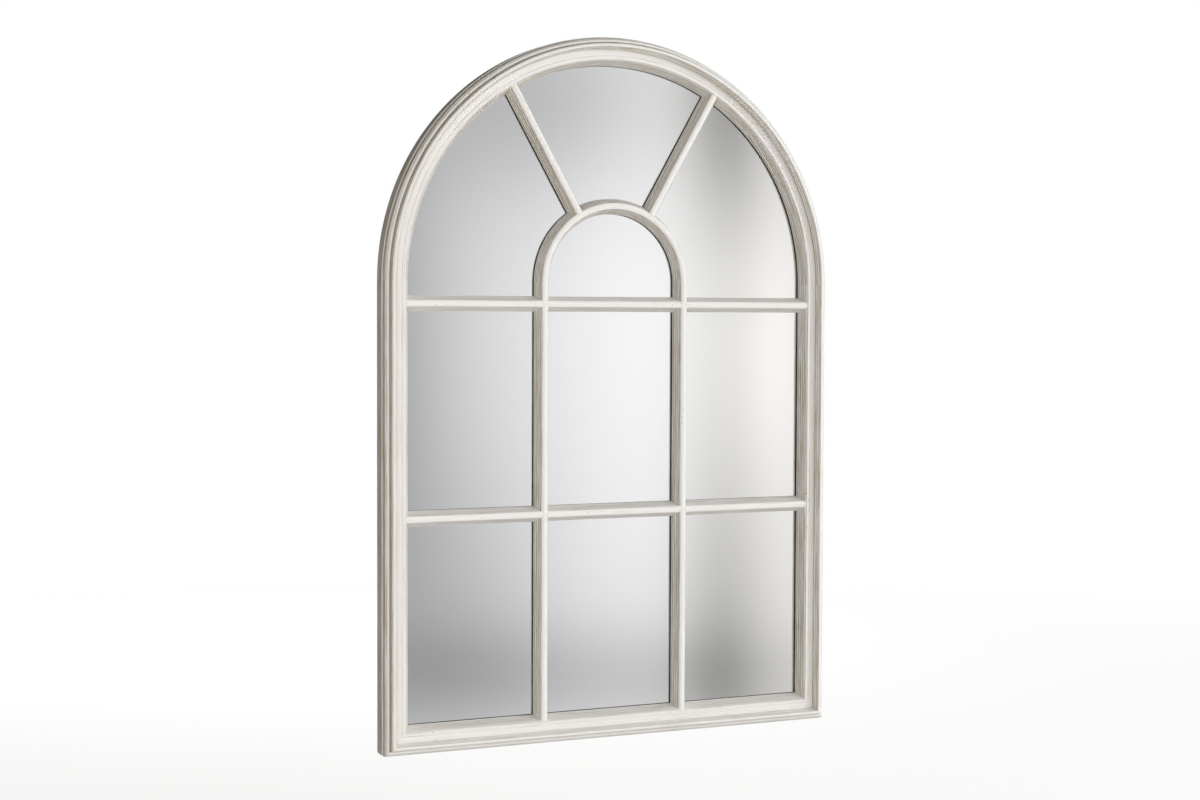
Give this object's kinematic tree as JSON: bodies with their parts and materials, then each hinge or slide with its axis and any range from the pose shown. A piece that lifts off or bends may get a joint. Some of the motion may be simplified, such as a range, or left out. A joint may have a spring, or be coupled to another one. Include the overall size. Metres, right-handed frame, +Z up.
{
  "type": "arched window mirror",
  "caption": "Round-headed wall mirror in a moulded, lime-painted wooden frame with coped window glazing bars, an inner arch and fanlight bars over one sheet of silvered glass.",
  "frame": {"origin": "middle of the lower edge of the wooden frame's flat back", "axes": "+Z up along the height, +Y backwards to the wall, +X to the right as seen from the front, which faces -Y"},
  "size_m": [0.8, 0.0485, 1.15],
  "materials": {
    "painted_wood": "white limed paint, rubbed back, with a tan wash in the grooves",
    "silvered_glass": "clear 4 mm float glass, silvered and painted on the back",
    "board": "plain brown hardboard",
    "dowel_wood": "bare beech",
    "steel": "zinc plated",
    "buffer_rubber": "matt"
  },
  "bodies": {
    "frame": {"bottom_rail": "painted_wood", "left_stile": "painted_wood", "right_stile": "painted_wood", "left_arch_foot": "painted_wood", "left_arch_crown": "painted_wood", "right_arch_crown": "painted_wood", "right_arch_foot": "painted_wood", "left_vertical_bar": "painted_wood", "right_vertical_bar": "painted_wood", "left_lower_bar": "painted_wood", "middle_lower_bar": "painted_wood", "right_lower_bar": "painted_wood", "left_upper_bar": "painted_wood", "middle_upper_bar": "painted_wood", "right_upper_bar": "painted_wood", "inner_arch_bar": "painted_wood", "left_radial_bar": "painted_wood", "right_radial_bar": "painted_wood", "mirror_glass": "silvered_glass", "backing_board": "board", "board_screws": "steel", "bar_dowels": "dowel_wood", "arch_dowels": "dowel_wood", "corner_dowels": "dowel_wood", "left_hanger_plate": "steel", "right_hanger_plate": "steel", "hanger_screws": "steel", "wall_buffers": "buffer_rubber"},
    "left_ring": {"left_hanger_ring": "steel"},
    "right_ring": {"right_hanger_ring": "steel"}
  },
  "joints": [
    {"name": "left_ring_hinge", "type": "hinge", "parent": "frame", "child": "left_ring", "pos_m": [-0.386, 0.003, 0.745], "axis": [1, 0, 0], "range_deg": [0, 180]},
    {"name": "right_ring_hinge", "type": "hinge", "parent": "frame", "child": "right_ring", "pos_m": [0.386, 0.003, 0.745], "axis": [1, 0, 0], "range_deg": [0, 180]}
  ]
}
